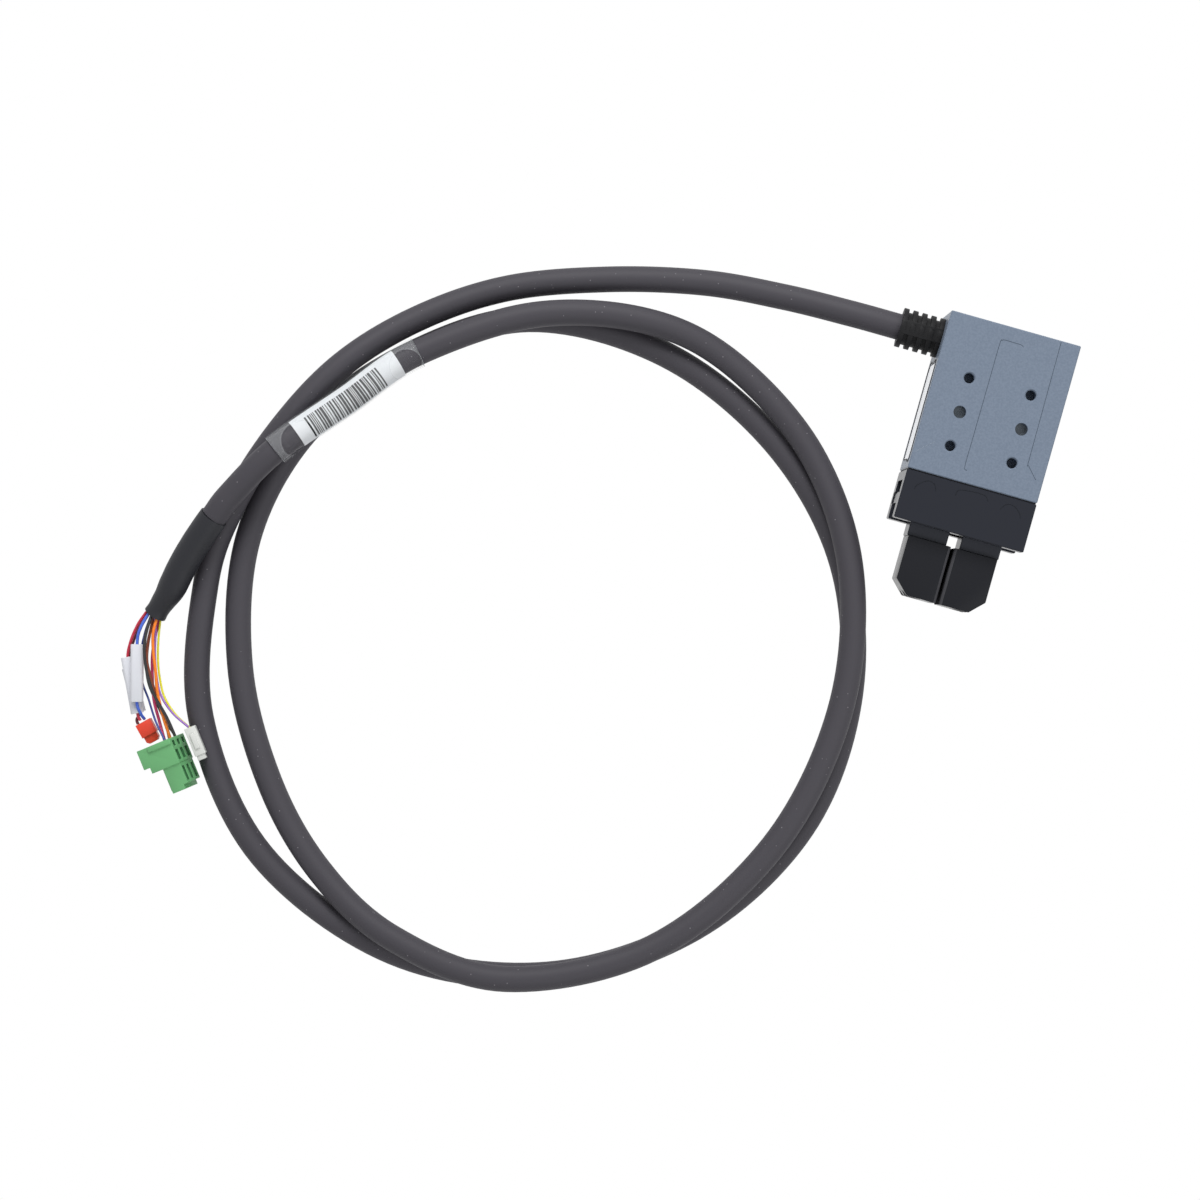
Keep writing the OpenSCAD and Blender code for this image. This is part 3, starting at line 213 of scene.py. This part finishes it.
def stations(points, first, last, steps):
    """Frames along a stretch of cord: matrices whose Z runs along it and whose X lies level."""
    spots = [on_curve(points, i, s / steps) for i in range(first, last) for s in range(steps)]
    spots.append(on_curve(points, last - 1, 1.0))
    made = []
    for k, spot in enumerate(spots):
        along = (spots[min(k + 1, len(spots) - 1)] - spots[max(k - 1, 0)]).normalized()
        across = along.cross(Vector((0, 0, 1))).normalized()
        up = across.cross(along)
        turn = Matrix((across, up, along)).transposed().to_4x4()
        made.append(Matrix.Translation(spot * MM) @ turn)
    return made


def lofted(bm, frames, radii, sides=32, squash=(1, 1), caps=False):
    """Circles at the frames, bridged into a tube. Returns their vertices ring by ring."""
    rings = []
    for place_at, radius in zip(frames, radii):
        shape = place_at @ Matrix.Diagonal((squash[0], squash[1], 1, 1))
        ring = bmesh.ops.create_circle(bm, segments=sides, radius=radius * MM, matrix=shape)
        rings.append(ring["verts"])
    edges = [[e for e in bm.edges if e.verts[0] in ring and e.verts[1] in ring]
             for ring in [set(r) for r in rings]]
    for one, other in zip(edges, edges[1:]):
        bmesh.ops.bridge_loops(bm, edges=one + other)
    if caps:
        for ring in (edges[0], edges[-1]):
            bmesh.ops.contextual_create(bm, geom=ring)
    return rings


def piece(name, bm, material, body="housing", recalc=True):
    """Turns a bmesh in metres into a named piece on a body."""
    if recalc:
        bmesh.ops.remove_doubles(bm, verts=bm.verts, dist=1e-7)
        bmesh.ops.recalc_face_normals(bm, faces=bm.faces)
    data = bpy.data.meshes.new(name)
    bm.to_mesh(data)
    bm.free()
    made = placed(name, data)
    data.materials.append(material)
    for face in data.polygons:
        face.use_smooth = True
    data.set_sharp_from_angle(angle=math.radians(40))
    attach(made, body)
    return made


film_stations = stations(cable_route, label_from, label_to, film_steps)
fine = stations(cable_route, label_from, label_to, fine_steps)
bm = bmesh.new()
for radius in (label_r, label_r - film_wall):
    lofted(bm, film_stations, [radius] * len(film_stations), squash=film_squash)
ends = [e for e in bm.edges if e.is_boundary]
for near in (film_stations[0], film_stations[-1]):
    rim = [e for e in ends if (e.verts[0].co - near.translation).length < (label_r + 1) * MM]
    bmesh.ops.bridge_loops(bm, edges=rim)
# Clear PVC: a thin pale veil over what lies under it, opaque only where it is seen edge on; the veil is
# partly the film's haze and partly painted reflection. Where it touches the jacket the veil goes, which
# leaves a darker patch with a bright rim, and that rim is a painted highlight.
clear = finish("clear_pvc_sleeve", "#eef2f5", 0.12, Specular_IOR_Level=0.5)
tree, shader = shading(clear)
place = node(tree, "ShaderNodeTexCoord").outputs["Object"]
edge_on = node(tree, "ShaderNodeLayerWeight", Blend=0.25)
haze_and_painted_reflection = node(tree, "ShaderNodeMapRange", i0=edge_on.outputs["Facing"], i1=0.7, i2=1.0, i3=0.075, i4=0.45)
touching = ((fine[18], 119, 5.3), (fine[168], 122, 6.2))  # a place, degrees round it, a patch's radius
for spot, turn, size in touching:
    lean = Vector((math.cos(math.radians(turn)), math.sin(math.radians(turn)), 0)) * label_r * MM
    far = node(tree, "ShaderNodeVectorMath", {"operation": "DISTANCE"}, i0=place, i1=spot @ lean)
    inside = node(tree, "ShaderNodeMapRange", i0=far.outputs["Value"], i1=(size - 0.15) * MM, i2=size * MM,
                  i3=0.1, i4=1.0)
    # A thin painted highlight line round the edge of each patch.
    rim = node(tree, "ShaderNodeMath", {"operation": "COMPARE"}, i0=far.outputs["Value"], i1=size * MM,
               i2=0.14 * MM)
    haze_and_painted_reflection = node(tree, "ShaderNodeMath", {"operation": "MULTIPLY"}, i0=haze_and_painted_reflection.outputs[0], i1=inside.outputs[0])
    haze_and_painted_reflection = node(tree, "ShaderNodeMath", {"operation": "MULTIPLY_ADD"}, i0=rim.outputs[0], i1=0.05,
                i2=haze_and_painted_reflection.outputs[0])
tree.links.new(haze_and_painted_reflection.outputs[0], shader.inputs["Alpha"])
film = piece("label_sleeve", bm, clear)
cut_edge = finish("cut_pvc_edge", "#e4e8ec", 0.3, Alpha=0.8)
film.data.materials.append(cut_edge)
cut_ends = [place_at.inverted() for place_at in (film_stations[0], film_stations[-1])]
for face in film.data.polygons:
    face.material_index = int(any(abs((to_end @ face.center).z) < 0.05 * MM for to_end in cut_ends))
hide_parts("cable_label")


def saddle(bm, frames, radius, low, high, thick, sides=72):
    """A strip along the frames between two angles in degrees round them, cut from a tube."""
    slack = 0.1
    rings = lofted(bm, frames, [radius] * len(frames), sides)
    outside = []
    for place_at, ring in zip(frames, rings):
        to_ring = place_at.inverted()
        for vert in ring:
            spot = to_ring @ vert.co
            off = math.degrees(math.atan2(spot.y, spot.x)) - (low + high) / 2
            if abs((off + 180) % 360 - 180) > (high - low) / 2 + slack:
                outside.append(vert)
    bmesh.ops.delete(bm, geom=outside, context="VERTS")
    strip = {face for ring in rings for vert in ring if vert.is_valid for face in vert.link_faces}
    bmesh.ops.recalc_face_normals(bm, faces=list(strip))
    bmesh.ops.solidify(bm, geom=list(strip), thickness=thick * MM)


bm = bmesh.new()
saddle(bm, fine[23:171:4], slip_r, -15, 195, paper_thick)
# Label paper: bright white and matt.
paper = finish("white_label_paper", "#e2e5e8", 0.75, Specular_IOR_Level=0.1)
slip = piece("label_slip", bm, paper)

bm = bmesh.new()
shuffle = random.Random(11)
sleeve_steps = (label_to - label_from) * fine_steps
at = int(bars_from * sleeve_steps)
while at < bars_to * sleeve_steps:
    wide = shuffle.choice((1, 1, 2, 2, 3))
    saddle(bm, fine[at:at + wide + 1], bar_r, 55, 160, ink_thick)
    at += wide + shuffle.choice((1, 1, 2, 2))
# Thermal print: flat near-black.
print_black = finish("thermal_print", "#17171a", 0.8, Specular_IOR_Level=0.1)
bars = piece("label_bars", bm, print_black)

# ---- Heat shrink ----
# Black polyolefin tube shrunk over the end of the jacket and over the fan of leads.
shrink_route = [(-227, -80, 16.4), (-230.4, -89.2, 13.8), (-232.9, -97.6, 11.2), (-234.8, -106.1, 8.4),
                (-236.6, -111.1, 6.3), (-237.9, -115, 5)]
shrink_stations = stations(shrink_route, 0, 5, 5)
shrink_radii = [4.62, 4.7, 4.71, 4.69, 4.7, 4.7, 4.68, 4.7, 4.71, 4.69, 4.68, 4.7, 4.68, 4.66, 4.64,
                4.5, 4.3, 4.1, 3.95, 3.85, 3.74, 3.62, 3.56, 3.56, 3.64, 3.72]
bm = bmesh.new()
lofted(bm, shrink_stations, shrink_radii, caps=True)
shrink_black = finish("shrunk_polyolefin", "#25262b", 0.5, Specular_IOR_Level=0.3)
grain(shrink_black, 2.2, 0.1, 0.5)
heat_shrink = piece("heat_shrink_tube", bm, shrink_black)
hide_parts("heat_shrink")

# ---- Leads ----
# Eleven stranded wires with thin glossy PVC insulation, fanned out of the heat shrink.
lead_steps = 12
lead_list = [
    ("red", 0.5, "#c82b45", [
        (-240.8, -115.1, 4.9), (-242.4, -120, 4.9), (-243.2, -126, 4.2), (-242.6, -131.6, 3.5),
        (-238.8, -139.3, 3.45), (-235, -147.2, 3.4), (-233.6, -149.2, 3)]),
    ("blue", 0.5, "#476ede", [
        (-239.8, -115.3, 6.4), (-241, -120.5, 6.8), (-240.9, -125, 6.2), (-238.3, -134.7, 6),
        (-235.9, -143.6, 5.8), (-233.8, -147, 4.2), (-232.4, -148.4, 2.8)]),
    ("maroon", 0.5, "#66202f", [
        (-240.6, -115.4, 3.5), (-242.6, -124, 1.9), (-242.3, -133.7, 1.15), (-238.5, -140.3, 1.15),
        (-234.9, -146.6, 1.15), (-234.9, -149.3, 1.5), (-234.1, -150.6, 1.8)]),
    ("black", 0.5, "#1e1e20", [
        (-238.6, -115.4, 6.9), (-238.7, -120.5, 8.2), (-238, -126, 8.4), (-235.2, -133, 8.8),
        (-230.8, -139.6, 9.4), (-225, -145.4, 9.6), (-220.9, -150.5, 8.8)]),
    ("brown", 0.5, "#874127", [
        (-238.2, -115.6, 4.7), (-237.7, -123.5, 5.2), (-236.4, -130, 5.6), (-233.6, -135, 5.8),
        (-230.6, -139.8, 5.9), (-226, -146, 5.7), (-222.8, -152, 5.3)]),
    ("orange", 0.5, "#ff8722", [
        (-236.9, -115.5, 6.7), (-236.6, -121, 7.4), (-235, -126.6, 7.2), (-232.6, -132.4, 7.4),
        (-230.2, -138.6, 7.6), (-226.2, -145.8, 8), (-222.3, -151.6, 7.8)]),
    ("pink", 0.5, "#d44176", [
        (-236.4, -115.7, 3.9), (-236.2, -121, 3.8), (-235.4, -128, 3.7), (-233.4, -135, 3.8),
        (-231, -141.6, 4.2), (-227.4, -147.6, 5), (-224, -152.9, 6.4)]),
    ("dark_green", 0.35, "#32533f", [
        (-237.6, -115.7, 3), (-238.4, -122, 2.2), (-237.6, -129, 2), (-235, -136, 2.2),
        (-231.4, -141, 2.4), (-226, -147, 3.4), (-221.4, -150.9, 3.8)]),
    ("dark_blue", 0.35, "#324799", [
        (-239.4, -115.4, 2.6), (-240, -122, 1), (-239.4, -129, 0.8), (-236.8, -136.6, 1.6),
        (-232.9, -142, 2.5), (-228.3, -147.8, 7), (-223.5, -152.6, 10.2)]),
    ("purple", 0.35, "#9e6ec8", [
        (-237.8, -115.5, 5.7), (-236, -121, 5.9), (-234.4, -127.4, 5.7), (-232.2, -133.6, 5.6),
        (-229, -139.4, 6.4), (-223.6, -143.7, 8.9), (-217.33, -146.52, 10.5)]),
    ("yellow", 0.35, "#eee82f", [
        (-235.9, -115.7, 5.1), (-234.8, -122.4, 4.7), (-233.3, -128.6, 4.2), (-231.2, -134, 4.4),
        (-227.9, -139.6, 5.6), (-222.6, -144, 7.9), (-216.63, -146.82, 9.7)]),
]
for lead_name, radius, colour, points in lead_list:
    lead = bezier("lead_" + lead_name, points, radius, lead_steps, 4)
    insulation = finish("pvc_insulation_" + lead_name, colour, 0.38)
    lead.data.materials.append(insulation)
    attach(lead, "housing")
    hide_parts("lead_wires")


def dressed(node_name, name, material, edge_mm, body="housing", segments=2):
    """A copy of a solid with its edges rounded, which stands for the solid."""
    bm = bmesh.new()
    bm.from_mesh(nodes[node_name].data)
    bmesh.ops.remove_doubles(bm, verts=bm.verts, dist=2e-6)
    bmesh.ops.dissolve_limit(bm, angle_limit=math.radians(1), verts=bm.verts, edges=bm.edges)
    sharp = [e for e in bm.edges if len(e.link_faces) == 2 and e.calc_face_angle() > math.radians(25)]
    bmesh.ops.bevel(bm, geom=sharp, offset=edge_mm * MM, offset_type="OFFSET", affect="EDGES",
                    segments=segments, profile=0.5, material=-1, clamp_overlap=True)
    made = piece(name, bm, material, body, recalc=False)
    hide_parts(node_name)
    return made


# ---- Marker sleeves and connectors ----
# Three flattened white sleeves are slid over leads. A small red plug, a green terminal
# block and a white plug are crimped or screwed onto their ends.
sleeve_white = finish("white_marker_pvc", "#dfe1e8", 0.45)
markers = dressed("wire_markers", "marker_sleeves", sleeve_white, 0.12)
plug_red = finish("red_nylon", "#ec452d", 0.42)
red_plug = dressed("red_plug", "red_lead_plug", plug_red, 0.18)
block_green = finish("green_polyamide", "#6fb578", 0.45)
green_terminal = dressed("green_terminal", "green_terminal_block", block_green, 0.15)
# Wells of the end face, where the wires and the pins go in: the same plastic, painted a darker green inside
# as shade.
painted_shade_green = finish("painted_shade_green_polyamide", "#2f6a3c", 0.6)
green_terminal.data.materials.append(painted_shade_green)
block_turn, block_tilt = math.radians(38), math.radians(-18)
block_place = (Matrix.Translation(Vector((-223.3, -163.1, 0)) * MM)
               @ Matrix.Rotation(block_turn, 4, "Z") @ Matrix.Rotation(block_tilt, 4, "Y"))
to_block = block_place.inverted()
# Each row of wells in the block's own millimetres: front, back, deep end and mouth.
well_rows = ((5.6, 7.4, 11.1, 12.2), (1, 4.4, 10.3, 12.2), (-6, -1.2, 10.8, 12.0))
well_low, well_high, well_slack = 0.7, 10, 0.1
# Faces inside the wells take the darker green, which is painted shade.
for face in green_terminal.data.polygons:
    spot = to_block @ face.center / MM
    for front, back, deep, mouth in well_rows:
        beside = front - well_slack < spot.y < back + well_slack
        if beside and deep < spot.x < mouth and well_low < spot.z < well_high:
            face.material_index = 1
plug_white = finish("white_nylon", "#dadcd8", 0.45)
white_plug = dressed("white_plug", "white_lead_plug", plug_white, 0.15)

# ---- Cable boot ----
# Moulded rubber strain relief in the left wall: five rings joined by a spine along the
# top and another below, with open slots between them.
rubber = finish("moulded_rubber", "#111113", 0.55, Specular_IOR_Level=0.22)
grain(rubber, 0.9, 0.03, 0.4)
boot = dressed("cable_boot", "boot_with_rings", rubber, 0.22, segments=3)

# ---- Housings ----
# Milled aluminium: the rear housing is bead blasted and anodised blue-grey, the front
# housing and the jaws matt black. Both only shine where they are seen along the surface.
blue = finish("blue_grey_anodising", "#788495", 0.32, Specular_IOR_Level=0.1)
mottle(blue, grain(blue, 0.3, 0.012, 0.5), 0.6, ("#748091", "#7c8899"))
black = finish("black_anodising", "#2d2f36", 0.24, Specular_IOR_Level=0.08)
grain(black, 0.35, 0.01, 0.4)
dark = finish("blackened_steel", "#27282c", 0.22, Specular_IOR_Level=0.05)
grain(dark, 0.35, 0.006, 0.3)
bright = finish("bare_milled_aluminium", "#e6e8ec", 0.35, 1.0)
steel = finish("ground_steel", "#b9bcc2", 0.3, 1.0)
zinc = finish("zinc_plated_screws", "#9a9da2", 0.35, 1.0)
brass = finish("hobbed_brass", "#b58d4a", 0.35, 1.0)
copper = finish("enamelled_copper", "#b06a3a", 0.4, 1.0)
board_green = finish("solder_resist", "#1f6b45", 0.4)
plastic = finish("dark_moulded_plastic", "#26272a", 0.5)

slot_finish = {
    "blue_anodised_aluminium": blue, "black_anodised_aluminium": black, "black_steel": dark,
    "seal_rubber": rubber, "bare_plate": bright, "machined_steel": steel, "zinc_screws": zinc,
    "gear_brass": brass, "bare_aluminium": bright, "dark_plastic": plastic, "copper_winding": copper,
    "green_board": board_green, "white_plastic": plug_white, "cable_jacket": jacket,
    "clear_sleeve": clear, "wire_insulation": plastic, "red_plastic": plug_red,
    "green_plastic": block_green}
for part in frame["record"]["subparts"]:
    solid = nodes[part["node"]]
    solid.data.materials.clear()
    solid.data.materials.append(slot_finish[part["material_slot"]])
# The base jaws sit low, in the front housing's shade; their black is painted lighter to make up for that
# shade.
jaws_painted_lighter = finish("black_jaws_painted_lighter", "#43454c", 0.24, Specular_IOR_Level=0.08)
for side in ("left", "right"):
    nodes[side + "_base_jaw"].data.materials[0] = jaws_painted_lighter

# ---- Fingers ----
# Two short fingers of blackened steel, each held by two socket head screws from the front.
# Their gripping faces are ground and left dull.
dull = finish("dull_gripping_face", "#505054", 0.9, Specular_IOR_Level=0.0)
grip_reach = 1.2
for side in ("left", "right"):
    finger = dressed(side + "_finger", side + "_finger_block", dark, 0.15, side + "_jaw")
    finger.data.materials.append(dull)
    for face in finger.data.polygons:
        face.material_index = int(abs(face.center.x) < grip_reach * MM)

# ---- Marks on the top faces ----
# Fine lines where two cutters met, and one scratch. They are in the metal and its
# anodising, so each is a thread half sunk in the face.
top_z = 28
mark_lists = {
    "blue_cutter_line": ("#454f5b", 0.075, [
        [(3.65, 39.6), (3.1, 40), (2.2, 40.15), (-2.5, 40.2), (-3.3, 39.8), (-3.75, 38.6), (-3.82, 25),
         (-3.88, 8), (-3.9, -1.1), (-2.96, -2.3)],
        [(14.6, 44.3), (14.7, 30), (14.82, 15), (14.9, 4.9), (15.3, 4.3), (18.55, 0.7)]]),
    "blue_scratch": ("#96a1ae", 0.05, [[(-20, -0.9), (-17.5, 1.5), (-14.9, 3.7)]]),
    "black_cutter_line": ("#22242a", 0.09, [
        [(-17.2, -12.2), (-16.9, -11.1), (-15.6, -9.8), (-13.9, -8.7), (-12.5, -8.7), (-11.2, -9.5),
         (-10.5, -11.1)],
        [(-4.3, -10.7), (-3.9, -9.1), (-2.5, -8.5), (1.9, -8.1), (4.9, -8.4), (6, -9.8)],
        [(10.3, -11.1), (11.3, -9.7), (12.7, -8.8), (14.7, -9.2), (16.4, -10.6), (17.2, -12.1)]]),
}
for name, (colour, radius, routes) in mark_lists.items():
    tint = finish(name, colour, 0.6, Specular_IOR_Level=0.1)
    for i, route in enumerate(routes):
        line = bezier("%s_%d" % (name, i + 1), [(x, y, top_z) for x, y in route], radius, 6, 2)
        line.data.materials.append(tint)
        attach(line, "housing")

# ---- Floors of the dowel bores ----
# The two bores end in flat bare aluminium, with the rings that the end mill left.
dowel_x, dowel_y = 10, 14.75
floor_z = 24.53
floor_r = 1.97
floor_metal = finish("end_milled_floor", "#666e75", 0.45, 0.2)
tree, shader = shading(floor_metal)
place = node(tree, "ShaderNodeTexCoord").outputs["UV"]
rings = node(tree, "ShaderNodeTexWave", {"wave_type": "RINGS", "rings_direction": "SPHERICAL"},
             Vector=place, Scale=1.1, Distortion=0.4)
groove = node(tree, "ShaderNodeBump", Height=rings.outputs["Fac"], Distance=0.02 * MM, Strength=0.4)
tree.links.new(groove.outputs["Normal"], shader.inputs["Normal"])
for side, side_name in ((-1, "left"), (1, "right")):
    centre = (side * dowel_x * MM, dowel_y * MM, floor_z * MM)
    bm = bmesh.new()
    bmesh.ops.create_circle(bm, cap_ends=True, segments=48, radius=floor_r * MM,
                            matrix=Matrix.Translation(centre))
    layer = bm.loops.layers.uv.new("rings")
    for face in bm.faces:
        for loop in face.loops:
            out = (loop.vert.co - Vector(centre)) / MM
            loop[layer].uv = (out.x, out.y)
    piece("dowel_floor_" + side_name, bm, floor_metal)

# ---- Plate seal ----
# A thin bead of black rubber sealant, laid in the left wall round the bare plate.
wall_x = -21
seal_r = 0.22
seal_route = [(-2.9, 5.1), (12, 5), (28, 5.1), (28.2, 14), (28, 22.9), (12, 23), (-2.9, 22.9),
              (-3.1, 14), (-2.9, 5.1)]
bead = bezier("plate_seal", [(wall_x, y, z) for y, z in seal_route], seal_r, 6, 3)
bead.data.materials.append(rubber)
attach(bead, "housing")

# ---- Floor and light ----
# A white table seen as plain white, with soft light from above and from the upper left.
table_drop = 0.2
bm = bmesh.new()
bmesh.ops.create_grid(bm, x_segments=1, y_segments=1, size=3,
                      matrix=Matrix.Translation((0, 0, -table_drop * MM)))
table = bpy.data.meshes.new("table")
bm.to_mesh(table)
bm.free()
floor = placed("table", table)


def seen(tree):
    """1 for rays from the camera, from a reflection or through a clear piece, and 0 for the rest."""
    ray = node(tree, "ShaderNodeLightPath").outputs
    either = ray["Is Camera Ray"]
    for kind in ("Is Glossy Ray", "Is Transmission Ray"):
        either = node(tree, "ShaderNodeMath", {"operation": "MAXIMUM"}, i0=either, i1=ray[kind]).outputs[0]
    return either


card = bpy.data.materials.new("white_card")
card.use_nodes = True
tree = card.node_tree
matt = node(tree, "ShaderNodeBsdfDiffuse", Color=(0.8, 0.8, 0.8, 1))
glow = node(tree, "ShaderNodeEmission", Color=(1, 1, 1, 1), Strength=1.0)
both = node(tree, "ShaderNodeMixShader", i0=seen(tree), i1=matt.outputs[0], i2=glow.outputs[0])
tree.links.new(both.outputs[0], tree.nodes["Material Output"].inputs["Surface"])
table.materials.append(card)

world = bpy.data.worlds.new("studio")
world.use_nodes = True
bpy.context.scene.world = world
tree = world.node_tree
level = node(tree, "ShaderNodeMapRange", i0=seen(tree), i1=0.0, i2=1.0, i3=0.43, i4=1.0)
tree.nodes["Background"].inputs["Color"].default_value = (1, 1, 1, 1)
tree.links.new(level.outputs[0], tree.nodes["Background"].inputs["Strength"])


def lamp(name, place_at, aim, size, watts):
    """A square soft lamp at a place, aimed at a point, both in metres."""
    data = bpy.data.lights.new(name, "AREA")
    data.size = size
    data.energy = watts
    made = placed(name, data)
    made.location = place_at
    made.rotation_euler = (Vector(aim) - Vector(place_at)).to_track_quat("-Z", "Y").to_euler()


middle = (-0.1, -0.07, 0)
lamp("key", (-0.45, 1.0, 0.95), middle, 0.7, 15)
lamp("fill", (0.8, -0.5, 1.1), middle, 1.0, 6)

bpy.context.scene.view_settings.view_transform = "Standard"
